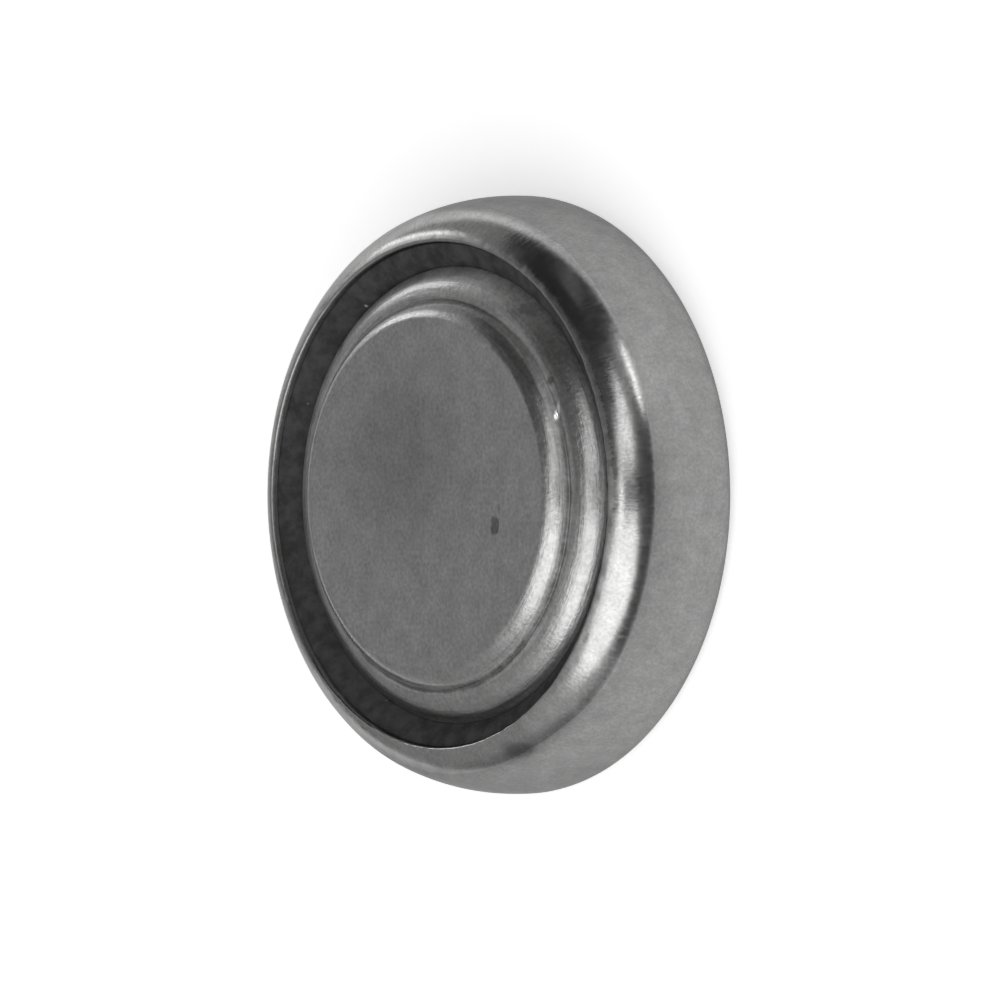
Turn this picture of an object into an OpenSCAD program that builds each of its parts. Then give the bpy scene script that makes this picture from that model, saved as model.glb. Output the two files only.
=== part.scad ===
// Silver oxide button cell in the standard size 54, 11.6 mm across.
// Every piece is a profile turned about Z. The positive face lies on Z = 0,
// the negative cap looks up, and the profiles are drawn in the plane of radius and height.
// Angles in a profile are counted from the outward radius towards the top of the cell.

/* [Cell] */
// Outside diameter, over the straight wall of the can
cell_d = 11.6; // [11:0.1:12.4]
// Height over the two contact faces
cell_h = 3.0; // [2.8:0.05:3.4]

/* [Positive can] */
// Thickness of the can's plated steel sheet
can_t = 0.25; // [0.2:0.01:0.3]
// Outside radius of the drawn corner at the positive face
corner_r = 0.5; // [0.3:0.05:0.6]
// Outside radius of the slow curve in which the wall starts to lean in
lean_r = 3.8; // [3.5:0.1:4.2]
// Angle at which the slow curve ends and the crimp begins
lean_deg = 20; // [18:1:22]
// Outside radius of the crimp that is rolled over the seal
crimp_r = 1.15; // [1.05:0.05:1.3]
// Angle at which the crimp ends in its cut edge
crimp_deg = 66; // [62:1:70]
// Radius on the outer corner of the cut edge
edge_r = 0.05; // [0.03:0.01:0.08]

/* [Negative cap] */
// Thickness of the cap's clad sheet
cap_t = 0.2; // [0.15:0.01:0.24]
// How far the contact face stands above the highest point of the crimp
cap_proud = 0.34; // [0.28:0.01:0.4]
// Radius in which the contact face turns over its rim
rim_r = 0.28; // [0.25:0.01:0.3]
// Angle at which the rim goes over into the slope
rim_deg = 66; // [62:1:70]
// Radius of the slope from the rim down to the crease
slope_r = 0.66; // [0.6:0.02:0.7]
// Angle at which the slope ends in the crease
slope_deg = 25; // [20:1:30]
// Radius in the crease between the slope and the shoulder
crease_r = 0.03; // [0.02:0.01:0.06]
// Angle at which the crease goes over into the shoulder
crease_deg = 83; // [80:1:86]
// Radius of the broad shoulder outside the crease
shoulder_r = 0.78; // [0.7:0.02:0.8]
// Angle at which the shoulder goes over into its nose
shoulder_deg = 27; // [24:1:30]
// Radius of the nose from the shoulder down to the neck
nose_r = 0.3; // [0.26:0.02:0.34]
// Straight height of the neck under the nose
neck_h = 0.1; // [0.06:0.01:0.14]
// Radius in which the neck flares out to the flange
flare_r = 0.1; // [0.06:0.01:0.12]
// Radius in which the flange turns down into the skirt
skirt_bend_r = 0.35; // [0.3:0.01:0.4]
// Straight height of the skirt down to its rim
skirt_h = 0.28; // [0.2:0.01:0.34]

/* [Sealing gasket] */
// Radial gap between the cut edge of the crimp and the cap's neck
groove_w = 0.41; // [0.36:0.01:0.5]
// Radial thickness of the gasket between the skirt and the straight wall of the can
seal_t = 0.5; // [0.44:0.01:0.55]
// Height at which the gasket's visible edge leaves the nose, above the neck's top
edge_lift = 0.12; // [0.08:0.01:0.13]
// Bulge of the gasket's visible edge
edge_bulge = 0.05; // [0.03:0.01:0.08]
// Share of the crimp's cut edge that the gasket covers
edge_cover = 0.5; // [0.3:0.05:0.6]
// Thickness of the gasket's foot under the skirt
foot_t = 0.3; // [0.25:0.01:0.35]
// Width of the gasket's upstand inside the skirt
upstand_w = 0.3; // [0.2:0.01:0.4]
// Height of that upstand above the foot
upstand_h = 0.24; // [0.15:0.01:0.26]

/* [Cell stack] */
// Thickness of the barrier film on the cathode pellet
film_t = 0.08; // [0.05:0.01:0.12]

/* [Hidden] */

$fn = 180;
// Largest turn between two points of a curve, and the shortest step between them on a small one
arc_step = 3;
least_step = 0.008;
// More than the cell measures, for regions cut off by another profile
beyond = 2 * cell_d;

steel = [0.62, 0.62, 0.61];
cap_steel = [0.46, 0.46, 0.46];
nylon = [0.10, 0.10, 0.11];
silver_oxide = [0.20, 0.19, 0.19];
film = [0.78, 0.80, 0.82];
cotton = [0.93, 0.92, 0.88];
zinc_gel = [0.50, 0.52, 0.55];

// ---- the can, from the positive face up to the crimp's cut edge
can_r = cell_d / 2;
can_in_r = can_r - can_t;
// Height of the crimp's outer corner above the start of the lean
lean_rise = (lean_r - crimp_r) * sin(lean_deg) + (crimp_r - edge_r) * sin(crimp_deg) + edge_r;
lean_z = cell_h - cap_proud - lean_rise;
corner_c = [can_r - corner_r, corner_r];
lean_c = [can_r - lean_r, lean_z];
crimp_c = lean_c + (lean_r - crimp_r) * along(lean_deg);
edge_c = crimp_c + (crimp_r - edge_r) * along(crimp_deg);
// Inner and outer corner of the cut edge, and how far up it the gasket reaches
lip = crimp_c + (crimp_r - can_t) * along(crimp_deg);
lip_top = edge_c + edge_r * along(crimp_deg + 90);
cover = between(lip, lip_top, edge_cover);

// ---- the cap, from its contact face out and down to the rim of its skirt
neck_r = lip[0] - groove_w;
skirt_r = can_in_r - seal_t;
// Steps from each curve's centre to the next one's
to_slope = (rim_r - slope_r) * along(rim_deg);
to_crease = (slope_r + crease_r) * along(slope_deg);
to_shoulder = -(crease_r + shoulder_r) * along(crease_deg);
to_nose = (shoulder_r - nose_r) * along(shoulder_deg);
rim_x = neck_r - nose_r - (to_slope + to_crease + to_shoulder + to_nose)[0];
rim_c = [rim_x, cell_h - rim_r];
slope_c = rim_c + to_slope;
crease_c = slope_c + to_crease;
shoulder_c = crease_c + to_shoulder;
nose_c = shoulder_c + to_nose;
flare_c = [neck_r + flare_r, nose_c[1] - neck_h];
bend_c = [skirt_r - skirt_bend_r, flare_c[1] - flare_r - skirt_bend_r];

// ---- the stack under the cap
skirt_z = bend_c[1] - skirt_h;
foot_z = skirt_z - foot_t;
pellet_z = foot_z - film_t;
skirt_in_r = skirt_r - cap_t;
upstand_r = skirt_in_r - upstand_w;
// Where the gasket's visible edge meets the nose
seal_top = nose_c + nose_r * along(asin(edge_lift / nose_r));

function along(a) = [cos(a), sin(a)];
function between(p, q, f) = p + f * (q - p);

// Points of an arc about c, from angle a to angle b
function arc(c, r, a, b) =
    let (
        turn = abs(b - a),
        n = ceil(min(turn / arc_step, max(turn / 30, turn * r * PI / 180 / least_step)))
    )
    [for (i = [0:n]) c + r * along(a + (b - a) * i / n)];

// Points from p to q on an arc that bulges to the left by the height h
function bulge(p, q, h) =
    let (
        half = norm(q - p) / 2,
        r = (half * half + h * h) / (2 * h),
        left = [p[1] - q[1], q[0] - p[0]] / (2 * half),
        c = between(p, q, 0.5) + (h - r) * left,
        mid = atan2(left[1], left[0]),
        turn = asin(half / r)
    )
    arc(c, r, mid + turn, mid - turn);

function backwards(points) = [for (i = [len(points) - 1:-1:0]) points[i]];

// Surface of the can at the depth t into its sheet, from the axis to the end of the crimp
function can_face(t) = concat(
    [[0, t]],
    arc(corner_c, corner_r - t, -90, 0),
    arc(lean_c, lean_r - t, 0, lean_deg),
    arc(crimp_c, crimp_r - t, lean_deg, crimp_deg)
);

// Surface of the cap at the depth t into its sheet, from the axis to the rim of the skirt
function cap_face(t) = concat(
    [[0, cell_h - t]],
    arc(rim_c, rim_r - t, 90, rim_deg),
    arc(slope_c, slope_r - t, rim_deg, slope_deg),
    arc(crease_c, crease_r + t, 180 + slope_deg, 180 + crease_deg),
    arc(shoulder_c, shoulder_r - t, crease_deg, shoulder_deg),
    arc(nose_c, nose_r - t, shoulder_deg, 0),
    arc(flare_c, flare_r + t, 180, 270),
    arc(bend_c, skirt_bend_r - t, 90, 0),
    [[skirt_r - t, skirt_z]]
);

// Room inside the can, up to where the gasket ends on the cut edge
module can_room() {
    polygon(concat(can_face(can_t), [cover, [0, cover[1]]]));
}

// Room under a surface of the cap, down to the rim of its skirt
module under_cap(t) {
    polygon(concat(cap_face(t), [[0, skirt_z]]));
}

// The part of the can's room between two heights
module layer(low, high) {
    intersection() {
        can_room();
        translate([0, low]) square([beyond, high - low]);
    }
}

module positive_can() {
    outside = concat(can_face(0), arc(edge_c, edge_r, crimp_deg, crimp_deg + 90));
    color(steel) rotate_extrude() polygon(concat(outside, backwards(can_face(can_t))));
}

module negative_cap() {
    color(cap_steel) rotate_extrude()
        polygon(concat(cap_face(0), backwards(cap_face(cap_t))));
}

// Everything inside the can and its cut edge, from the foot to the visible edge, outside the cap
module seal_section() {
    difference() {
        intersection() {
            can_room();
            polygon(concat(
                [[0, foot_z], [beyond, foot_z], [beyond, cover[1]]],
                backwards(bulge(seal_top, cover, edge_bulge)),
                [[0, seal_top[1]]]
            ));
        }
        under_cap(0);
        square([upstand_r, skirt_z]);
    }
}

module sealing_gasket() {
    color(nylon) rotate_extrude() {
        seal_section();
        translate([upstand_r, foot_z]) square([upstand_w, foot_t + upstand_h]);
    }
}

module cathode_pellet() {
    color(silver_oxide) rotate_extrude() layer(0, pellet_z);
}

module barrier_film() {
    color(film) rotate_extrude() layer(pellet_z, foot_z);
}

module absorbent_pad() {
    color(cotton) translate([0, 0, foot_z]) cylinder(h = foot_t, r = upstand_r);
}

module zinc_anode() {
    color(zinc_gel) rotate_extrude()
        difference() {
            under_cap(cap_t);
            translate([upstand_r, skirt_z]) square([upstand_w, upstand_h]);
        }
}

positive_can();
sealing_gasket();
negative_cap();
cathode_pellet();
barrier_film();
absorbent_pad();
zinc_anode();
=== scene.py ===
import math
from collections import namedtuple

import bmesh
import bpy
from bpy.props import FloatProperty, FloatVectorProperty, IntProperty, PointerProperty
from mathutils import Matrix, Vector, noise


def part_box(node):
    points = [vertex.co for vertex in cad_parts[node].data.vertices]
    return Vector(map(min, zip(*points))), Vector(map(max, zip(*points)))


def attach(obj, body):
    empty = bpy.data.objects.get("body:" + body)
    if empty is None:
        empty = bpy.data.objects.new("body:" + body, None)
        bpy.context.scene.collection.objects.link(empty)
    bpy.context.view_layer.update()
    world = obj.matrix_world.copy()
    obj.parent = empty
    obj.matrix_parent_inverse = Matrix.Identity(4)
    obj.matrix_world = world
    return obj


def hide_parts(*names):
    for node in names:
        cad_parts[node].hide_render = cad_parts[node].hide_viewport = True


bl_info = {
    "name": "Silver oxide button cell",
    "version": (1, 0, 0),
    "blender": (4, 5, 0),
    "location": "3D View > Sidebar > Button Cell",
    "description": "Crimped can, moulded seal and stepped cap on the cell's CAD frame",
    "category": "Object",
}

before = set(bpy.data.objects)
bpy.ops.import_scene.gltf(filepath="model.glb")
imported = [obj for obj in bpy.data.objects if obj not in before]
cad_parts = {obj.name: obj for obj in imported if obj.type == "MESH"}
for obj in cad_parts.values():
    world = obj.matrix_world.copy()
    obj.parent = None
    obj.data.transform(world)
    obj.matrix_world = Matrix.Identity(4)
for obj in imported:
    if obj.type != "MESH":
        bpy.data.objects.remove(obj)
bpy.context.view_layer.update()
CAN_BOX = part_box("positive_can")
CAP_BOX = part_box("negative_cap")

MM = 0.001
QUARTER = math.pi / 2
# How far inside the CAD's box the turned pieces stay, and how near vertices are merged
CLEAR = 1e-7
MERGE = 1e-7

# Heights between which the can's rolled ripples and the nicks of its cut edge come in
RIPPLED = (1.95 * MM, 2.25 * MM)
NICKED = (2.56 * MM, 2.66 * MM)
# Radii between which the contact face has closer rings, for the pit
PIT_RINGS = (1.8 * MM, 2.5 * MM)
# Size of the grain that makes the pit's outline ragged, and its share of the pit's reach
PIT_GRAIN = 0.12 * MM
PIT_RAGGED = 0.35
# Shares of that reach at which the pit's floor ends and its rim starts
PIT_FLOOR, PIT_RIM = 0.7, 1.05
# Radius at which a ripple has its stated size round a piece
RIPPLE_RADIUS = 4.5 * MM

# Materials measure in millimetres, and so do the values from here down to the marks.
# Heights on the can between which each finish comes in
BURNISHED = (1.97, 2.03)
BRIGHTENED = (2.04, 2.24)
# Heights between which the crimp's colour grows darker towards its lip
SOILED = (2.50, 2.60)
WORN_LIP = (2.59, 2.64)
# Towards -X the burnish starts higher: by how much, and the share of -X between which it does
HIGHER = 0.3
HIGHER_SIDE = (-0.6, -0.95)
# Radii on the cap between which each finish comes in, and the radius of the crease
DRAWN = (3.34, 3.41)
COATED = (3.43, 3.52)
HAZED = (3.95, 4.2)
DULL_NOSE = (4.3, 4.43)
CREASE_RADIUS = 3.81
# Distances from the crease between which its own finishes come in
CREASE_LINES = (0.18, 0.08)
CREASE_DULL = (0.14, 0.03)
# The darkening in the crease is partly real dirt and partly painted shade
CREASE_DIRT = (0.055, 0.01)
CREASE_COATED = (0.04, 0.12)
# Shares of +X between which the dirt and painted shade of the crease come in, and the direction in
# which the haze lies
DIRT_SIDE = (0.7, -0.1)
HAZE_SIDE = (0.8, 0.6, 0.0)
# Range in which a noise mostly stays
NOISE_RANGE = (0.3, 0.7)

# A soft oval mark: its place, its reach along each axis, how ragged its outline is and where
# its full core begins
Mark = namedtuple("Mark", "centre reach ragged core")
PIT = Mark((-0.595, -2.03, 3.0), (0.21, 0.125, 0.3), 0.7, 0.75)
PIT_TAIL = Mark((-0.27, -2.15, 3.0), (0.15, 0.07, 0.3), 0.6, 0.3)
# Painted shade: the contact face made darker in a broad oval, standing in for a dim blurred
# reflection
FACE_SHADE = Mark((0.8, 0.7, 3.0), (2.8, 2.8, 1.0), 0.2, 0.0)
CREASE_DOT = Mark((2.20, -3.22, 2.66), (0.12, 0.10, 0.2), 0.5, 0.4)
# A nick in the crease: the nick is real, its pale colour is a painted glint
CREASE_NICK = Mark((1.62, -3.46, 2.66), (0.26, 0.06, 0.2), 0.3, 0.3)
SEAL_SPECK = Mark((3.67, 2.57, 2.25), (0.04, 0.05, 0.06), 0.9, 0.2)
# Stains on the cap and a broad painted shade over its face, each with the share of the tone that
# is left in it
CAP_STAINS = ((CREASE_DOT, 0.45), (PIT, 0.52), (PIT_TAIL, 0.75), (FACE_SHADE, 0.77))
# Smudges on the can's crimp and wall, each with its strength
CAN_SMUDGES = (
    (Mark((-4.91, -1.98, 2.35), (0.36, 0.62, 0.34), 0.6, 0.2), 1.0),
    (Mark((-1.20, -5.65, 1.44), (0.2, 0.2, 0.25), 0.6, 0.2), 0.35),
    (Mark((-4.35, -3.80, 0.79), (0.2, 0.2, 0.25), 0.6, 0.2), 0.35),
)

# Lamps: direction from the cell, distance in metres, width and height in degrees as seen from
# the cell, and level; then the shape and its roll in degrees, where it isn't an ellipse
LAMPS = (
    ("big_softbox", (-0.45, -0.485, 0.75), 0.5, 60, 54, 1.5),
    ("wide_softbox", (-0.66, -0.26, 0.70), 0.55, 70, 62, 0.12),
    ("small_softbox", (0.34, -0.56, 0.755), 0.5, 36, 32, 1.15),
    ("slim_lamp", (0.67, -0.735, 0.13), 0.4, 27, 9, 3.8),
    ("far_strip", (0.49, 0.83, 0.26), 0.5, 10, 26, 2.6, "RECTANGLE", 38),
    ("bridge_lamp", (0.0, -0.40, 0.915), 0.5, 16, 8, 1.0),
)
# Cards: direction from the cell, distance, width and height in metres, and paper
CARDS = (
    ("side_card", (0.803, -0.027, 0.595), 0.35, 0.39, 0.49, "dark_card"),
    ("over_card", (0.32, 0.06, 0.945), 0.36, 0.26, 0.24, "dim_card"),
    ("side_patch", (0.925, -0.06, 0.375), 0.30, 0.05, 0.13, "pale_patch"),
    ("front_card", (-0.14, -0.96, 0.25), 0.60, 1.40, 0.34, "dim_card"),
    ("camera_card", (0.02, -0.743, 0.669), 0.45, 0.10, 0.29, "dark_card"),
)


# ---------------------------------------------------------------- settings

def length(name, description, millimetres):
    return FloatProperty(
        name=name, description=description, default=millimetres * MM,
        min=0.0, unit="LENGTH", precision=5)


def turn(name, description, degrees):
    return FloatProperty(
        name=name, description=description, default=math.radians(degrees), subtype="ANGLE")


def share(name, description, value, high=1.0):
    return FloatProperty(
        name=name, description=description, default=value, min=0.0, max=high,
        subtype="FACTOR")


def tone(name, description, red, green, blue):
    return FloatVectorProperty(
        name=name, description=description, default=(red, green, blue),
        min=0.0, max=1.0, size=3, subtype="COLOR")


class CanSizes(bpy.types.PropertyGroup):
    radius: FloatProperty(
        name="Radius", description="Outside radius over the straight wall",
        default=CAN_BOX[1].x - CLEAR, unit="LENGTH", precision=5)
    sheet: length("Sheet", "Thickness of the plated steel sheet", 0.25)
    corner: length("Corner", "Outside radius of the drawn corner", 0.5)
    lean: length("Lean", "Outside radius of the slow curve in which the wall leans in", 3.8)
    lean_turn: turn("Lean ends", "Angle at which the slow curve ends", 20)
    crimp: length("Crimp", "Outside radius of the crimp rolled over the seal", 1.15)
    crimp_turn: turn("Crimp ends", "Angle at which the crimp ends in its cut edge", 66)
    edge: length("Edge", "Radius on the outer corner of the cut edge", 0.05)
    waviness: length("Waviness", "Depth of the ripples that rolling left in the crimp", 0.006)
    burr: length("Burr", "Depth of the nicks in the crimp's cut edge", 0.020)


class CapSizes(bpy.types.PropertyGroup):
    top: FloatProperty(
        name="Height", description="Height of the contact face over the positive face",
        default=CAP_BOX[1].z - CLEAR, unit="LENGTH", precision=5)
    sheet: length("Sheet", "Thickness of the clad sheet", 0.2)
    proud: length("Proud", "Height of the contact face above the crimp", 0.34)
    rim: length("Rim", "Radius in which the contact face turns over its rim", 0.28)
    rim_turn: turn("Rim ends", "Angle at which the rim goes over into the slope", 66)
    slope: length("Slope", "Radius of the slope from the rim down to the crease", 0.66)
    slope_turn: turn("Slope ends", "Angle at which the slope ends in the crease", 25)
    crease: length("Crease", "Radius in the crease", 0.03)
    crease_turn: turn("Crease ends", "Angle at which the crease goes over into the shoulder", 83)
    shoulder: length("Shoulder", "Radius of the broad shoulder outside the crease", 0.78)
    shoulder_turn: turn("Shoulder ends", "Angle at which the shoulder goes over into its nose", 27)
    nose: length("Nose", "Radius of the nose from the shoulder down to the neck", 0.3)
    neck: length("Neck", "Straight height of the neck under the nose", 0.1)
    flare: length("Flare", "Radius in which the neck flares to the flange", 0.1)
    bend: length("Bend", "Radius in which the flange turns into the skirt", 0.35)
    skirt: length("Skirt", "Straight height of the skirt", 0.28)
    waviness: length("Waviness", "Depth of the ripples that drawing left in the shoulders", 0.004)
    pit_depth: length("Pit depth", "Depth of the pit in the contact face", 0.02)
    pit_length: length("Pit length", "Half length of that pit", 0.2)
    pit_width: length("Pit width", "Half width of that pit", 0.12)


class SealSizes(bpy.types.PropertyGroup):
    groove: length("Groove", "Gap between the crimp's cut edge and the neck", 0.41)
    wall: length("Wall", "Thickness between the skirt and the can's wall", 0.5)
    lift: length("Lift", "Height at which the visible edge leaves the nose", 0.12)
    bulge: length("Bulge", "Bulge of the visible edge", 0.05)
    cover: share("Cover", "Share of the crimp's cut edge that the gasket covers", 0.5)
    foot: length("Foot", "Thickness of the foot under the skirt", 0.3)
    upstand_width: length("Upstand width", "Width of the upstand inside the skirt", 0.3)
    upstand: length("Upstand", "Height of the upstand above the foot", 0.24)
    waviness: length("Waviness", "Depth of the moulded edge's unevenness", 0.02)


class Finishes(bpy.types.PropertyGroup):
    satin: tone("Satin plating", "Colour of the can's satin wall", 0.30, 0.30, 0.298)
    burnished: tone("Burnished plating", "Colour of the rolled crimp", 0.46, 0.46, 0.456)
    face: tone("Cap face", "Colour of the contact face", 0.45, 0.45, 0.45)
    shoulder: tone("Cap shoulders", "Colour of the drawn shoulders", 0.43, 0.43, 0.427)
    nylon: tone("Nylon", "Colour of the moulded seal", 0.055, 0.055, 0.057)
    pellet: tone("Silver oxide", "Colour of the pressed cathode", 0.035, 0.033, 0.032)
    film: tone("Barrier film", "Colour of the membrane", 0.60, 0.63, 0.64)
    fibre: tone("Fibre pad", "Colour of the absorbent pad", 0.80, 0.79, 0.74)
    gel: tone("Zinc gel", "Colour of the anode", 0.26, 0.27, 0.29)
    # The nick's pale colour is a painted glint
    bare: tone("Bare metal", "Colour of the nick in the cap's crease", 0.95, 0.95, 0.95)
    speck: tone("Specks", "Colour of the pale specks on the seal", 0.4, 0.4, 0.4)
    can_edge: share("Can edge tint", "How bright the can stays at a glancing angle", 0.5)
    cap_edge: share("Cap edge tint", "How bright the cap stays at a glancing angle", 0.6)
    satin_rough: share("Satin roughness", "Roughness of the can's wall", 0.42)
    burnished_rough: share("Burnished roughness", "Roughness of the rolled crimp", 0.22)
    face_rough: share("Face roughness", "Roughness of the contact face", 0.40)
    shoulder_rough: share("Shoulder roughness", "Roughness of the drawn shoulders", 0.33)
    lip_rough: share("Lip roughness", "Roughness of the crimp's worn lip", 0.38)
    nose_rough: share("Nose roughness", "Roughness where the cap goes down into the seal", 0.5)
    crease_rough: share("Crease roughness", "Roughness in the cap's crease", 0.58)
    nick_rough: share("Nick roughness", "Roughness of the nick in the crease", 0.2)
    coat_rough: share("Gloss roughness", "Roughness of the gloss over the shoulders", 0.13)


class Studio(bpy.types.PropertyGroup):
    floor: tone("Floor", "Colour of the floor", 0.86, 0.86, 0.86)
    floor_glow: share("Floor lift", "How much the floor is lifted towards white", 0.56)
    horizon: share("Horizon", "Level of the room's light at the horizon", 0.30, 2.0)
    zenith: share("Zenith", "Level of the room's light overhead", 0.38, 2.0)
    card: share("Dark cards", "Tone of the dark cards", 0.03)
    dim_card: share("Dim cards", "Tone of the dim cards", 0.16)
    patch: share("Pale patch", "Tone of the patch before the dark card", 0.32)
    elevation: turn("Camera elevation", "Camera's height above the horizon", 41.53)
    distance: length("Camera distance", "From the camera to what it looks at", 580)
    lens: FloatProperty(
        name="Lens", description="Focal length in millimetres", default=1080, unit="CAMERA")
    aim: FloatVectorProperty(
        name="Aim", description="Point at the picture's centre", unit="LENGTH", precision=6,
        default=(-0.0001017, -0.0009613, 0.0019134), size=3)


class CellSettings(bpy.types.PropertyGroup):
    can: PointerProperty(type=CanSizes, name="Can", description="Sizes of the positive can")
    cap: PointerProperty(type=CapSizes, name="Cap", description="Sizes of the negative cap")
    seal: PointerProperty(type=SealSizes, name="Seal", description="Sizes of the gasket")
    finish: PointerProperty(type=Finishes, name="Finish", description="Colours and gloss")
    studio: PointerProperty(type=Studio, name="Studio", description="Floor, lights and camera")
    steps: IntProperty(
        name="Steps", description="Steps in one full turn of a piece", default=480, min=24)


# ---------------------------------------------------------------- profiles

def point(r, z):
    """A point of a profile, at the radius r and the height z."""
    return Vector((r, 0, z))


def along(centre, radius, angle):
    """The point at that radius and angle from a profile's centre."""
    return centre + radius * point(math.cos(angle), math.sin(angle))


class Section:
    """Centres of the curves in the cell's half section and what lies between them."""

    def __init__(self, cell):
        can, cap, seal = cell.can, cell.cap, cell.seal
        self.can_in = can.radius - can.sheet
        rise = (
            (can.lean - can.crimp) * math.sin(can.lean_turn)
            + (can.crimp - can.edge) * math.sin(can.crimp_turn) + can.edge)
        self.corner = point(can.radius - can.corner, can.corner)
        self.lean = point(can.radius - can.lean, cap.top - cap.proud - rise)
        self.crimp = along(self.lean, can.lean - can.crimp, can.lean_turn)
        self.edge = along(self.crimp, can.crimp - can.edge, can.crimp_turn)
        self.lip = along(self.crimp, can.crimp - can.sheet, can.crimp_turn)
        lip_top = along(self.edge, can.edge, can.crimp_turn + QUARTER)
        self.cover = self.lip.lerp(lip_top, seal.cover)

        self.neck = self.lip.x - seal.groove
        self.skirt = self.can_in - seal.wall
        self.rim = point(0, cap.top - cap.rim)
        self.slope = along(self.rim, cap.rim - cap.slope, cap.rim_turn)
        self.crease = along(self.slope, cap.slope + cap.crease, cap.slope_turn)
        self.shoulder = along(self.crease, -cap.crease - cap.shoulder, cap.crease_turn)
        self.nose = along(self.shoulder, cap.shoulder - cap.nose, cap.shoulder_turn)
        outwards = point(self.neck - cap.nose - self.nose.x, 0)
        for centre in (self.rim, self.slope, self.crease, self.shoulder, self.nose):
            centre += outwards
        self.flare = point(self.neck + cap.flare, self.nose.z - cap.neck)
        self.bend = point(self.skirt - cap.bend, self.flare.z - cap.flare - cap.bend)

        self.skirt_end = self.bend.z - cap.skirt
        self.foot = self.skirt_end - seal.foot
        self.skirt_in = self.skirt - cap.sheet
        self.upstand = self.skirt_in - seal.upstand_width
        self.seal_turn = math.asin(seal.lift / cap.nose)
        self.seal_top = along(self.nose, cap.nose, self.seal_turn)


class Outline:
    """Half section of a turned piece, drawn onwards from one vertex.

    The steps of a line or an arc are the edges that it gets.
    """

    def __init__(self, r, z):
        self.mesh = bmesh.new()
        self.tip = self.mesh.verts.new(point(r, z))

    def line(self, r, z, steps=1):
        """Goes straight on to the radius r and the height z."""
        step = (point(r, z) - self.tip.co) / steps
        for _ in range(steps):
            made = bmesh.ops.extrude_vert_indiv(self.mesh, verts=[self.tip])
            self.tip = made["verts"][0]
            bmesh.ops.translate(self.mesh, verts=[self.tip], vec=step)

    def arc(self, centre, angle, steps):
        """Goes on round a centre, towards +Z for a positive angle."""
        made = bmesh.ops.spin(
            self.mesh, geom=[self.tip], cent=centre, axis=(0, -1, 0), angle=angle,
            steps=steps, use_merge=False, use_duplicate=False)
        self.tip = [g for g in made["geom_last"] if isinstance(g, bmesh.types.BMVert)][0]

    def turned(self, steps):
        """The profile turned once about Z, closed and facing outwards."""
        bm = self.mesh
        bmesh.ops.remove_doubles(bm, verts=bm.verts, dist=MERGE)
        bmesh.ops.spin(
            bm, geom=bm.verts[:] + bm.edges[:], cent=(0, 0, 0), axis=(0, 0, 1),
            angle=2 * math.pi, steps=steps, use_merge=True, use_duplicate=False)
        bmesh.ops.remove_doubles(bm, verts=bm.verts, dist=MERGE)
        bmesh.ops.recalc_face_normals(bm, faces=bm.faces)
        return bm


def ripple(co, across, around):
    """Smooth unevenness from -1 to 1: across and around are its sizes in a turned surface."""
    r = max(math.hypot(co.x, co.y), 1e-9)
    spread = RIPPLE_RADIUS / around
    return noise.noise(Vector((
        co.x / r * spread, co.y / r * spread, (r - co.z) / across)))


def sink(bm, depth):
    """Moves each vertex inwards along its normal by depth(its place)."""
    bm.normal_update()
    moves = [(v, v.normal * -depth(v.co)) for v in bm.verts]
    for v, move in moves:
        v.co += move


def ramp(value, low, high):
    """0 at low and below, 1 at high and above, smooth between."""
    t = min(max((value - low) / (high - low), 0.0), 1.0)
    return t * t * (3 - 2 * t)


def new_piece(name, bm, material, node):
    """Makes the mesh an object that rides on the cell and stands for its CAD node."""
    mesh = bpy.data.meshes.new(name)
    bm.normal_update()
    bm.to_mesh(mesh)
    bm.free()
    mesh.shade_smooth()
    mesh.materials.append(material)
    piece = bpy.data.objects.new(name, mesh)
    bpy.context.scene.collection.objects.link(piece)
    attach(piece, "root")
    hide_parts(node)


# ---------------------------------------------------------------- node trees

# Sockets of a Mix node whose names it has more than once: factor, both colours and the result
MIX_FACTOR, MIX_A, MIX_B, MIX_COLOUR = 0, 6, 7, 2


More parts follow.
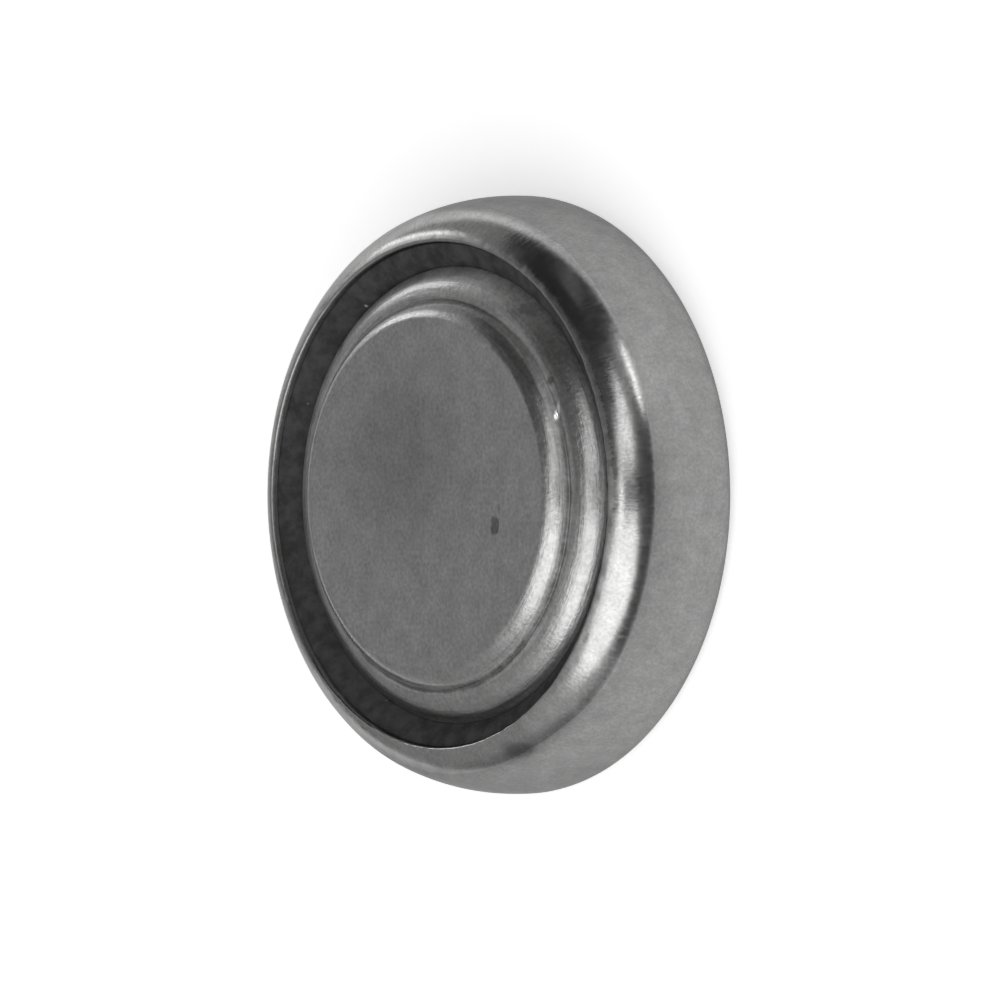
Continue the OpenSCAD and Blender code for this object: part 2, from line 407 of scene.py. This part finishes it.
class Tree:
    """Short calls that add nodes to a tree and join them."""

    def __init__(self, tree):
        self.tree = tree

    def add(self, kind, inputs=None, **settings):
        made = self.tree.nodes.new(kind)
        for name, value in settings.items():
            setattr(made, name, value)
        for name, value in (inputs or {}).items():
            self.join(value, made.inputs[name])
        return made

    def join(self, value, socket):
        if isinstance(value, bpy.types.NodeSocket):
            self.tree.links.new(value, socket)
        else:
            socket.default_value = value

    def math(self, operation, *values):
        made = self.add("ShaderNodeMath", dict(enumerate(values)), operation=operation)
        return made.outputs[0]

    def product(self, first, *others):
        """All the values multiplied, from the first on."""
        for value in others:
            first = self.math("MULTIPLY", first, value)
        return first

    def vector(self, operation, *values):
        """A vector made of one or two others."""
        made = self.add(
            "ShaderNodeVectorMath", dict(enumerate(values)), operation=operation)
        return made.outputs["Vector"]

    def measure(self, operation, *values):
        """A number measured on one or two vectors."""
        made = self.add(
            "ShaderNodeVectorMath", dict(enumerate(values)), operation=operation)
        return made.outputs["Value"]

    def scaled(self, vector, scale):
        """A vector made longer or shorter, or a colour made lighter or darker."""
        made = self.add(
            "ShaderNodeVectorMath", {"Vector": vector, "Scale": scale}, operation="SCALE")
        return made.outputs["Vector"]

    def parts(self, vector):
        return self.add("ShaderNodeSeparateXYZ", {"Vector": vector}).outputs

    def joined(self, x, y, z):
        return self.add("ShaderNodeCombineXYZ", {"X": x, "Y": y, "Z": z}).outputs[0]

    def band(self, value, low, high, start=0.0, end=1.0, smooth=True):
        """value taken from low..high to start..end, and held outside it."""
        made = self.add("ShaderNodeMapRange", {
            "Value": value, "From Min": low, "From Max": high, "To Min": start, "To Max": end,
        }, interpolation_type="SMOOTHSTEP" if smooth else "LINEAR")
        return made.outputs["Result"]

    def spread(self, value, start, end, smooth=False):
        """A noise taken from the range it mostly stays in to start..end."""
        return self.band(value, *NOISE_RANGE, start, end, smooth)

    def noise(self, vector, scale=1.0, detail=2.0, rough=0.5):
        made = self.add("ShaderNodeTexNoise", {
            "Vector": vector, "Scale": scale, "Detail": detail, "Roughness": rough})
        return made.outputs["Fac"]

    def mix(self, factor, a, b):
        """A value between a and b."""
        made = self.add("ShaderNodeMix", {"Factor": factor, "A": a, "B": b}, data_type="FLOAT")
        return made.outputs["Result"]

    def tint(self, factor, a, b):
        """A colour between a and b."""
        made = self.add("ShaderNodeMix", data_type="RGBA")
        for socket, value in ((MIX_FACTOR, factor), (MIX_A, a), (MIX_B, b)):
            self.join(value, made.inputs[socket])
        return made.outputs[MIX_COLOUR]

    def effect(self, group, **inputs):
        """Places a shared effect with this material's own values."""
        made = self.add("ShaderNodeGroup", node_tree=group)
        for name, value in inputs.items():
            self.join(value, made.inputs[name.capitalize()])
        return made.outputs

    def mark(self, place, mark):
        """Mask of a mark on a piece, from 0 outside it to 1 in its core."""
        made = self.effect(
            bpy.data.node_groups["Mark"], position=place, centre=mark.centre,
            reach=mark.reach, ragged=mark.ragged, core=mark.core)
        return made["Mask"]


def effect_group(name, inputs, outputs):
    """An empty shader node group with named sockets; vectors are those with no default."""
    group = bpy.data.node_groups.new(name, "ShaderNodeTree")
    for label, default in inputs.items():
        kind = "NodeSocketVector" if default is None else "NodeSocketFloat"
        made = group.interface.new_socket(label, in_out="INPUT", socket_type=kind)
        if default is not None:
            made.default_value = default
    for label in outputs:
        kind = "NodeSocketVector" if label == "Around" else "NodeSocketFloat"
        group.interface.new_socket(label, in_out="OUTPUT", socket_type=kind)
    tree = Tree(group)
    return group, tree, tree.add("NodeGroupInput").outputs, tree.add("NodeGroupOutput").inputs


def turned_place_group():
    """Radius, height and direction of a point on a turned piece, in millimetres."""
    group, t, given, out = effect_group(
        "Turned place", {"Position": None}, ("Radius", "Height", "Profile", "Around"))
    x, y, z = t.parts(given["Position"])
    flat = t.joined(x, y, 0.0)
    r = t.measure("LENGTH", flat)
    t.join(r, out["Radius"])
    t.join(z, out["Height"])
    t.join(t.math("SUBTRACT", r, z), out["Profile"])
    t.join(t.vector("NORMALIZE", flat), out["Around"])
    return group


def streaks_group(turned):
    """Fine streaks on a turned piece: they run round it where Across is finer than Around."""
    _, t, given, out = effect_group(
        "Turned streaks", {"Position": None, "Across": 20.0, "Around": 3.0, "Seed": 0.0},
        ("Value",))
    place = t.effect(turned, position=given["Position"])
    round_x, round_y, _ = t.parts(place["Around"])
    line = t.product(place["Profile"], given["Across"])
    spot = t.joined(
        t.product(round_x, given["Around"]), t.product(round_y, given["Around"]),
        t.math("ADD", line, given["Seed"]))
    t.join(t.noise(spot, detail=3.0, rough=0.6), out["Value"])


def grain_group():
    """Even fine grain of a pickled or tumbled surface, and coarse clouds over it."""
    _, t, given, out = effect_group(
        "Grain", {"Position": None, "Size": 0.08, "Seed": 0.0}, ("Value", "Coarse"))
    shifted = t.vector("ADD", given["Position"], t.joined(given["Seed"], 0.0, given["Seed"]))
    scale = t.math("DIVIDE", 1.0, given["Size"])
    coarser = t.math("DIVIDE", scale, 6.0)
    t.join(t.noise(shifted, scale, detail=2.0, rough=0.55), out["Value"])
    t.join(t.noise(shifted, coarser, detail=3.0, rough=0.6), out["Coarse"])


def specks_group():
    """Sparse round specks, each cell of the pattern with one or none."""
    _, t, given, out = effect_group(
        "Specks", {"Position": None, "Spacing": 0.4, "Size": 0.1, "Share": 0.3}, ("Mask",))
    edge = 0.04
    spot = t.add("ShaderNodeTexVoronoi", {
        "Vector": given["Position"], "Scale": t.math("DIVIDE", 1.0, given["Spacing"])})
    pick = t.add("ShaderNodeSeparateColor", {"Color": spot.outputs["Color"]}).outputs[0]
    size = t.product(given["Size"], t.math("LESS_THAN", pick, given["Share"]))
    near = t.math("SUBTRACT", size, spot.outputs["Distance"])
    t.join(t.band(near, 0.0, edge), out["Mask"])


def mark_group():
    """One soft oval mark at a place on a piece."""
    _, t, given, out = effect_group(
        "Mark", {"Position": None, "Centre": None, "Reach": None, "Ragged": 0.3, "Core": 0.5},
        ("Mask",))
    away = t.vector("DIVIDE", t.vector("SUBTRACT", given["Position"], given["Centre"]),
                    given["Reach"])
    uneven = t.math("SUBTRACT", t.noise(away, scale=2.0), 0.5)
    far = t.math("ADD", t.measure("LENGTH", away), t.product(uneven, given["Ragged"]))
    t.join(t.band(far, 1.0, given["Core"]), out["Mask"])


def effects():
    """The shared effects, built once."""
    if "Turned place" not in bpy.data.node_groups:
        streaks_group(turned_place_group())
        grain_group()
        specks_group()
        mark_group()
    return bpy.data.node_groups


def new_material(name):
    """An empty material with its tree, its place in millimetres and its shader's inputs."""
    material = bpy.data.materials.new(name)
    material.use_nodes = True
    material.node_tree.nodes.clear()
    t = Tree(material.node_tree)
    place = t.add("ShaderNodeTexCoord").outputs["Object"]
    shader = t.add("ShaderNodeBsdfPrincipled")
    output = t.add("ShaderNodeOutputMaterial")
    t.join(shader.outputs[0], output.inputs["Surface"])
    return material, t, t.scaled(place, 1 / MM), shader.inputs


def bumped(t, height, millimetres):
    """The normal over a relief as deep as that."""
    made = t.add("ShaderNodeBump", {"Height": height, "Distance": millimetres * MM})
    return made.outputs["Normal"]


def rgba(colour):
    return (*colour, 1.0)


# ---------------------------------------------------------------- materials

def can_material(finish):
    """Plated steel: satin wall and floor, burnished crimp, dull worn lip."""
    material, t, place, shader = new_material("plated_can_steel")
    fx = effects()
    turned = t.effect(fx["Turned place"], position=place)
    grain = t.effect(fx["Grain"], position=place, size=0.06, seed=3.0)
    rolled = t.effect(fx["Turned streaks"], position=place, across=3.5, around=110.0)

    # The burnish starts at an uneven height, and higher up towards -X
    uneven = t.product(t.math("SUBTRACT", grain["Coarse"], 0.5), 0.05)
    higher = t.band(t.parts(turned["Around"])["X"], *HIGHER_SIDE, 0.0, HIGHER)
    level = t.math("SUBTRACT", t.math("ADD", turned["Height"], uneven), higher)
    burnished = t.band(level, *BURNISHED)
    smudge = 0.0
    for mark, strength in CAN_SMUDGES:
        smudge = t.math("ADD", smudge, t.product(t.mark(place, mark), strength))

    colour = t.tint(t.band(level, *BRIGHTENED), rgba(finish.satin), rgba(finish.burnished))
    mottle = t.spread(grain["Coarse"], 0.90, 1.10)
    fine = t.spread(grain["Value"], 0.88, 1.12)
    # Smudges darken the crimp, and its colour also grows darker towards the lip
    soiled = t.product(
        t.band(smudge, 0.0, 1.0, 1.0, 0.55), t.band(level, *SOILED, 1.0, 0.8))
    shade = t.product(mottle, fine, soiled)
    t.join(t.scaled(colour, shade), shader["Base Color"])

    shader["Metallic"].default_value = 1.0
    shader["Specular Tint"].default_value = rgba((finish.can_edge,) * 3)
    rough = t.mix(burnished, finish.satin_rough, finish.burnished_rough)
    rough = t.mix(t.band(level, *WORN_LIP), rough, finish.lip_rough)
    streaky = t.spread(rolled["Value"], -0.05, 0.05)
    t.join(t.math("ADD", rough, streaky), shader["Roughness"])

    relief = t.mix(burnished, grain["Value"], t.product(rolled["Value"], 1.1))
    t.join(bumped(t, relief, 0.0014), shader["Normal"])
    return material


def cap_material(finish):
    """Clad steel: fine satin contact face under a broad painted shade, glossier drawn shoulders,
    dirt and painted shade in the crease, a painted glint in a nick.
    """
    material, t, place, shader = new_material("clad_cap_steel")
    fx = effects()
    turned = t.effect(fx["Turned place"], position=place)
    grain = t.effect(fx["Grain"], position=place, size=0.08, seed=11.0)
    ridges = t.effect(fx["Turned streaks"], position=place, across=7.0, around=2.5, seed=4.0)
    lines = t.effect(fx["Turned streaks"], position=place, across=16.0, around=2.0, seed=9.0)
    radius, coarse = turned["Radius"], grain["Coarse"]
    drawn = t.band(radius, *DRAWN)
    nick = t.mark(place, CREASE_NICK)

    # Dirt and painted shade lie in the crease, unevenly and less towards +X; drawing left lines
    # beside it
    off_crease = t.math("ABSOLUTE", t.math("SUBTRACT", radius, CREASE_RADIUS))
    patchy = t.math("ADD", off_crease, t.spread(coarse, -0.014, 0.014, smooth=True))
    side = t.band(t.parts(turned["Around"])["X"], *DIRT_SIDE, 0.35, 1.0)
    dirt = t.product(t.band(patchy, *CREASE_DIRT), side)
    lined = t.mix(t.band(off_crease, *CREASE_LINES), 1.0,
                  t.band(lines["Value"], 0.35, 0.65, 0.9, 1.22))

    # The colour is darkened by real stains and by painted shade in the crease and over the face
    stains = [(dirt, 0.50)] + [(t.mark(place, mark), left) for mark, left in CAP_STAINS]
    shade = t.product(
        t.spread(coarse, 0.90, 1.10), t.spread(grain["Value"], 0.84, 1.16), lined,
        *(t.band(mask, 0.0, 1.0, 1.0, left, smooth=False) for mask, left in stains))
    colour = t.tint(drawn, rgba(finish.face), rgba(finish.shoulder))
    plain = t.scaled(colour, shade)
    # The nick's pale colour is a painted glint laid over the plain colour
    t.join(t.tint(nick, plain, rgba(finish.bare)), shader["Base Color"])

    # A thin haze dulls the metal of the outer shoulder on one side
    aside = t.measure("DOT_PRODUCT", turned["Around"], HAZE_SIDE)
    haze = t.product(
        t.band(radius, *HAZED), t.band(coarse, 0.3, 0.6, 0.4, 0.75), t.band(aside, 0.0, 0.7))
    t.join(t.math("SUBTRACT", 1.0, haze), shader["Metallic"])
    gloss = t.band(off_crease, *CREASE_COATED, 0.1, 0.5)
    t.join(t.product(t.band(radius, *COATED), gloss), shader["Coat Weight"])
    shader["Coat Roughness"].default_value = finish.coat_rough
    shader["Coat IOR"].default_value = 1.7
    shader["Specular Tint"].default_value = rgba((finish.cap_edge,) * 3)

    rough = t.mix(drawn, finish.face_rough, finish.shoulder_rough)
    rough = t.mix(t.band(radius, *DULL_NOSE), rough, finish.nose_rough)
    streaky = t.math("ADD", rough, t.spread(ridges["Value"], -0.04, 0.04))
    dull = t.mix(t.band(off_crease, *CREASE_DULL), streaky, finish.crease_rough)
    t.join(t.mix(nick, dull, finish.nick_rough), shader["Roughness"])

    relief = t.mix(drawn, t.product(grain["Value"], 0.15),
                   t.math("ADD", ridges["Value"], t.product(grain["Value"], 0.5)))
    t.join(bumped(t, relief, 0.010), shader["Normal"])
    return material


def nylon_material(finish):
    """Dark moulded nylon with a dull skin and a few pale specks."""
    material, t, place, shader = new_material("moulded_nylon")
    fx = effects()
    grain = t.effect(fx["Grain"], position=place, size=0.05, seed=21.0)
    specks = t.effect(fx["Specks"], position=place, spacing=0.25, size=0.12, share=0.15)
    pale = t.math("MAXIMUM", t.product(specks["Mask"], 0.25), t.mark(place, SEAL_SPECK))
    skin = t.scaled(tuple(finish.nylon), t.spread(grain["Coarse"], 0.7, 1.35, smooth=True))
    t.join(t.tint(pale, skin, rgba(finish.speck)), shader["Base Color"])
    shader["Specular IOR Level"].default_value = 0.15
    t.join(t.spread(grain["Value"], 0.75, 0.95, smooth=True), shader["Roughness"])
    t.join(bumped(t, grain["Value"], 0.004), shader["Normal"])
    return material


def stack_material(name, colour, rough, grain_size, metallic):
    """Pressed powder, film, fibre or gel inside the cell."""
    material, t, place, shader = new_material(name)
    fx = effects()
    grain = t.effect(fx["Grain"], position=place, size=grain_size, seed=31.0)
    specks = t.effect(
        fx["Specks"], position=place, spacing=grain_size * 4, size=0.3, share=0.4)
    grainy = t.scaled(tuple(colour), t.band(grain["Value"], 0.25, 0.75, 0.75, 1.25))
    lighter = t.math("ADD", 1.0, t.product(specks["Mask"], 0.35))
    t.join(t.scaled(grainy, lighter), shader["Base Color"])
    shader["Metallic"].default_value = metallic
    t.join(t.spread(grain["Coarse"], rough - 0.08, rough + 0.08, smooth=True),
           shader["Roughness"])
    t.join(bumped(t, grain["Value"], grain_size * 0.1), shader["Normal"])
    return material


# ---------------------------------------------------------------- operators

class CellOperator:
    """What every operator of the cell shares."""
    bl_options = {"REGISTER", "UNDO"}

    def settings(self, context):
        return context.scene.button_cell


class BUTTONCELL_OT_can(CellOperator, bpy.types.Operator):
    """Draws the can's sheet from its floor up to the crimp's cut edge and back inside"""
    bl_idname = "button_cell.add_can"
    bl_label = "Crimped Can"

    def execute(self, context):
        cell = self.settings(context)
        can, s = cell.can, Section(cell)
        rolled = can.crimp_turn - can.lean_turn
        o = Outline(0, 0)
        o.line(s.corner.x, 0, steps=6)
        o.arc(s.corner, QUARTER, steps=12)
        o.line(can.radius, s.lean.z, steps=2)
        o.arc(s.lean, can.lean_turn, steps=24)
        o.arc(s.crimp, rolled, steps=32)
        o.arc(s.edge, QUARTER, steps=8)
        o.line(s.lip.x, s.lip.z, steps=4)
        o.arc(s.crimp, -rolled, steps=12)
        o.arc(s.lean, -can.lean_turn, steps=6)
        o.line(s.can_in, s.corner.z)
        o.arc(s.corner, -QUARTER, steps=6)
        o.line(0, can.sheet, steps=2)
        bm = o.turned(cell.steps)

        under_lip = s.lip.x - 0.1 * MM

        def depth(co):
            if co.z < RIPPLED[0] or math.hypot(co.x, co.y) < under_lip:
                return 0.0
            wave = (0.5 + 0.4 * ripple(co, across=0.5 * MM, around=0.9 * MM)
                    + 0.1 * ripple(co, across=1.0 * MM, around=0.2 * MM))
            nick = max(ripple(co, across=0.3 * MM, around=0.16 * MM), 0.0)
            return (can.waviness * wave * ramp(co.z, *RIPPLED)
                    + can.burr * nick * ramp(co.z, *NICKED))

        sink(bm, depth)
        new_piece("crimped_can", bm, can_material(cell.finish), "positive_can")
        return {"FINISHED"}


class BUTTONCELL_OT_cap(CellOperator, bpy.types.Operator):
    """Presses the cap's sheet with its face, crease, shoulder, neck, flange and skirt"""
    bl_idname = "button_cell.add_cap"
    bl_label = "Stepped Cap"

    def execute(self, context):
        cell = self.settings(context)
        cap, s = cell.cap, Section(cell)
        o = Outline(0, cap.top)
        o.line(PIT_RINGS[0], cap.top, steps=8)
        o.line(PIT_RINGS[1], cap.top, steps=26)
        o.line(s.rim.x, cap.top, steps=8)
        o.arc(s.rim, cap.rim_turn - QUARTER, steps=6)
        o.arc(s.slope, cap.slope_turn - cap.rim_turn, steps=16)
        o.arc(s.crease, cap.crease_turn - cap.slope_turn, steps=6)
        o.arc(s.shoulder, cap.shoulder_turn - cap.crease_turn, steps=18)
        o.arc(s.nose, -cap.shoulder_turn, steps=12)
        o.line(s.neck, s.flare.z, steps=2)
        o.arc(s.flare, QUARTER, steps=6)
        o.line(s.bend.x, s.bend.z + cap.bend)
        o.arc(s.bend, -QUARTER, steps=8)
        o.line(s.skirt, s.skirt_end)
        o.line(s.skirt_in, s.skirt_end)
        o.line(s.skirt_in, s.bend.z)
        o.arc(s.bend, QUARTER, steps=6)
        o.line(s.flare.x, s.flare.z - cap.flare - cap.sheet)
        o.arc(s.flare, -QUARTER, steps=6)
        o.line(s.neck - cap.sheet, s.nose.z)
        o.arc(s.nose, cap.shoulder_turn, steps=5)
        o.arc(s.shoulder, cap.crease_turn - cap.shoulder_turn, steps=5)
        o.arc(s.crease, cap.slope_turn - cap.crease_turn, steps=6)
        o.arc(s.slope, cap.rim_turn - cap.slope_turn, steps=5)
        o.arc(s.rim, QUARTER - cap.rim_turn, steps=3)
        o.line(0, cap.top - cap.sheet, steps=2)
        bm = o.turned(cell.steps)

        pit = Vector(PIT.centre) * MM
        mid_sheet = cap.top - cap.sheet * 0.5

        def depth(co):
            r = math.hypot(co.x, co.y)
            if co.z < s.nose.z or (co.z < mid_sheet and r < s.rim.x):
                return 0.0
            drawn = ramp(r, s.rim.x - 0.05 * MM, s.rim.x + 0.1 * MM)
            wave = 0.5 + 0.5 * ripple(co, across=0.3 * MM, around=0.8 * MM)
            away = co - pit
            far = math.hypot(away.x / cap.pit_length, away.y / cap.pit_width)
            far += PIT_RAGGED * noise.noise(co / PIT_GRAIN)
            return cap.waviness * wave * drawn + cap.pit_depth * ramp(-far, -PIT_RIM, -PIT_FLOOR)

        sink(bm, depth)
        new_piece("stepped_cap", bm, cap_material(cell.finish), "negative_cap")
        return {"FINISHED"}


class BUTTONCELL_OT_seal(CellOperator, bpy.types.Operator):
    """Moulds the gasket between the cap and the can, with its edge in the groove"""
    bl_idname = "button_cell.add_seal"
    bl_label = "Seal Ring"

    def execute(self, context):
        cell = self.settings(context)
        can, cap, seal, s = cell.can, cell.cap, cell.seal, Section(cell)
        rolled = can.crimp_turn - can.lean_turn
        o = Outline(s.seal_top.x, s.seal_top.z)
        o.arc(s.nose, -s.seal_turn, steps=3)
        o.line(s.neck, s.flare.z)
        o.arc(s.flare, QUARTER, steps=6)
        o.line(s.bend.x, s.bend.z + cap.bend)
        o.arc(s.bend, -QUARTER, steps=8)
        o.line(s.skirt, s.skirt_end)
        o.line(s.skirt_in, s.skirt_end)
        o.line(s.skirt_in, s.skirt_end + seal.upstand)
        o.line(s.upstand, s.skirt_end + seal.upstand)
        o.line(s.upstand, s.foot)
        o.line(s.can_in, s.foot)
        o.line(s.can_in, s.lean.z)
        o.arc(s.lean, can.lean_turn, steps=8)
        o.arc(s.crimp, rolled, steps=12)
        o.line(s.cover.x, s.cover.z, steps=2)
        half = (s.seal_top - s.cover) / 2
        reach = (half.length_squared + seal.bulge ** 2) / (2 * seal.bulge)
        out = Vector((half.z, 0, -half.x)).normalized()
        centre = s.cover + half + out * (seal.bulge - reach)
        o.arc(centre, 2 * math.asin(half.length / reach), steps=14)
        bm = o.turned(cell.steps * 3 // 4)

        inner, outer = s.seal_top.x, s.cover.x
        lowest = s.seal_top.z + 0.004 * MM
        fade = 0.08 * MM

        def depth(co):
            r = math.hypot(co.x, co.y)
            if co.z < lowest or not inner < r < outer:
                return 0.0
            middle = ramp(r, inner, inner + fade) * ramp(-r, -outer, fade - outer)
            wave = 0.5 + 0.5 * ripple(co, across=0.2 * MM, around=0.5 * MM)
            return seal.waviness * wave * middle

        sink(bm, depth)
        new_piece("seal_ring", bm, nylon_material(cell.finish), "sealing_gasket")
        return {"FINISHED"}


class BUTTONCELL_OT_stack(CellOperator, bpy.types.Operator):
    """Finishes the pellet, film, pad and gel inside the cell"""
    bl_idname = "button_cell.finish_stack"
    bl_label = "Cell Stack"

    def execute(self, context):
        finish = self.settings(context).finish
        # Node, material, colour, roughness, grain size in millimetres and metallic
        rows = (
            ("cathode_pellet", "pressed_silver_oxide", finish.pellet, 0.7, 0.05, 0.0),
            ("barrier_film", "membrane_film", finish.film, 0.3, 0.2, 0.0),
            ("absorbent_pad", "fibre_pad", finish.fibre, 0.9, 0.1, 0.0),
            ("zinc_anode", "zinc_gel", finish.gel, 0.35, 0.12, 0.6),
        )
        for node, name, colour, rough, grain, metallic in rows:
            material = stack_material(name, colour, rough, grain, metallic)
            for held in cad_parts[node].material_slots:
                held.material = material
        return {"FINISHED"}


# ---------------------------------------------------------------- studio

def placed(direction, distance):
    """Stands something at that distance from the cell, with its -Z towards it."""
    away = Vector(direction)
    turned = away.to_track_quat("Z", "Y").to_matrix().to_4x4()
    return Matrix.Translation(away.normalized() * distance) @ turned


def softbox(name, direction, distance, width, height, level, shape="ELLIPSE", roll=0):
    """A lamp seen as an even light of that level; width and height are full angles."""
    light = bpy.data.lights.new(name, "AREA")
    light.shape = shape
    light.size = 2 * distance * math.tan(math.radians(width / 2))
    light.size_y = 2 * distance * math.tan(math.radians(height / 2))
    area = light.size * light.size_y * (math.pi / 4 if shape == "ELLIPSE" else 1.0)
    light.energy = level * math.pi * area
    lamp = bpy.data.objects.new(name, light)
    lamp.matrix_world = (
        placed(direction, distance) @ Matrix.Rotation(math.radians(roll), 4, "Z"))
    lamp.visible_camera = False
    bpy.context.scene.collection.objects.link(lamp)


def stage_piece(name, bm, material, seen):
    """Makes the mesh an object of the stage, which the camera sees or not."""
    mesh = bpy.data.meshes.new(name)
    bm.to_mesh(mesh)
    bm.free()
    mesh.materials.append(material)
    piece = bpy.data.objects.new(name, mesh)
    piece.visible_camera = seen
    bpy.context.scene.collection.objects.link(piece)


def card(name, direction, distance, width, height, material):
    """A card beside the cell that only reflections and shadows see."""
    bm = bmesh.new()
    bmesh.ops.create_grid(bm, x_segments=1, y_segments=1, size=0.5)
    bmesh.ops.scale(bm, vec=(width, height, 1), verts=bm.verts)
    bmesh.ops.transform(bm, matrix=placed(direction, distance), verts=bm.verts)
    stage_piece(name, bm, material, seen=False)


def card_material(name, grey):
    """Matte card in one grey, a little cloudy."""
    material, t, place, shader = new_material(name)
    felt = t.noise(place, scale=0.5)
    t.join(t.scaled((grey,) * 3, t.spread(felt, 0.8, 1.2, smooth=True)), shader["Base Color"])
    shader["Roughness"].default_value = 0.9
    return material


def floor_material(studio):
    """Pale paper, lifted towards white where it is seen or mirrored."""
    material, t, place, shader = new_material("pale_paper")
    fibre = t.noise(place, scale=0.8, detail=3.0)
    t.join(t.scaled(tuple(studio.floor), t.spread(fibre, 0.995, 1.005, smooth=True)),
           shader["Base Color"])
    shader["Roughness"].default_value = 0.9
    shader["Specular IOR Level"].default_value = 0.0
    shader["Emission Color"].default_value = (1, 1, 1, 1)
    ray = t.add("ShaderNodeLightPath").outputs
    seen = t.math("MAXIMUM", t.math("MAXIMUM", ray["Is Camera Ray"], ray["Is Glossy Ray"]),
                  ray["Is Transmission Ray"])
    t.join(t.product(seen, studio.floor_glow), shader["Emission Strength"])
    return material


def room(studio):
    """Even soft light from all round, a little stronger overhead."""
    world = bpy.data.worlds.new("room")
    world.use_nodes = True
    world.node_tree.nodes.clear()
    t = Tree(world.node_tree)
    up = t.parts(t.add("ShaderNodeTexCoord").outputs["Generated"])["Z"]
    level = t.band(up, 0.0, 1.0, studio.horizon, studio.zenith, smooth=False)
    light = t.add("ShaderNodeBackground", {"Color": (1, 1, 1, 1), "Strength": level})
    t.join(light.outputs[0], t.add("ShaderNodeOutputWorld").inputs["Surface"])
    bpy.context.scene.world = world


def camera(studio, scene):
    """A long lens that looks down on the cell, with the cell's +X up in its picture."""
    lens = bpy.data.cameras.new("camera")
    lens.sensor_width = 36.0
    lens.lens = studio.lens
    lens.clip_start = 0.05
    lens.clip_end = 20.0
    held = bpy.data.objects.new("camera", lens)
    back = Vector((0, -math.cos(studio.elevation), math.sin(studio.elevation)))
    up = Vector((1, 0, 0))
    turned = Matrix((up.cross(back), up, back)).transposed().to_4x4()
    held.matrix_world = (
        Matrix.Translation(Vector(studio.aim) + back * studio.distance) @ turned)
    scene.collection.objects.link(held)
    scene.camera = held


class BUTTONCELL_OT_studio(CellOperator, bpy.types.Operator):
    """Sets out the pale floor, the soft lamps, the cards and the camera"""
    bl_idname = "button_cell.add_studio"
    bl_label = "Studio"

    def execute(self, context):
        studio = self.settings(context).studio
        bm = bmesh.new()
        bmesh.ops.create_circle(bm, cap_ends=True, segments=96, radius=3.0)
        stage_piece("floor", bm, floor_material(studio), seen=True)

        room(studio)
        for lamp in LAMPS:
            softbox(*lamp)
        greys = {
            "dark_card": studio.card, "dim_card": studio.dim_card, "pale_patch": studio.patch}
        papers = {name: card_material(name, grey) for name, grey in greys.items()}
        for *row, paper in CARDS:
            card(*row, papers[paper])
        camera(studio, context.scene)
        context.scene.view_settings.view_transform = "Standard"
        return {"FINISHED"}


class BUTTONCELL_PT_panel(bpy.types.Panel):
    """Sizes, finishes and build steps of the button cell"""
    bl_idname = "BUTTONCELL_PT_panel"
    bl_label = "Button Cell"
    bl_space_type = "VIEW_3D"
    bl_region_type = "UI"
    bl_category = "Button Cell"

    def draw(self, context):
        cell = context.scene.button_cell
        layout = self.layout
        layout.prop(cell, "steps")
        for name in ("can", "cap", "seal", "finish", "studio"):
            part = getattr(cell, name)
            box = layout.box()
            box.label(text=name.capitalize())
            for key in part.__annotations__:
                box.prop(part, key)
        for operator in OPERATORS:
            layout.operator(operator.bl_idname)


OPERATORS = (
    BUTTONCELL_OT_can,
    BUTTONCELL_OT_cap,
    BUTTONCELL_OT_seal,
    BUTTONCELL_OT_stack,
    BUTTONCELL_OT_studio,
)
CLASSES = (
    CanSizes, CapSizes, SealSizes, Finishes, Studio, CellSettings,
    *OPERATORS, BUTTONCELL_PT_panel,
)


def register():
    for cls in CLASSES:
        bpy.utils.register_class(cls)
    bpy.types.Scene.button_cell = PointerProperty(type=CellSettings)


def unregister():
    del bpy.types.Scene.button_cell
    for cls in reversed(CLASSES):
        bpy.utils.unregister_class(cls)


def main():
    """Builds the cell and its studio."""
    register()
    bpy.ops.button_cell.add_can()
    bpy.ops.button_cell.add_cap()
    bpy.ops.button_cell.add_seal()
    bpy.ops.button_cell.finish_stack()
    bpy.ops.button_cell.add_studio()
    bpy.context.view_layer.update()


if __name__ == "__main__":
    main()
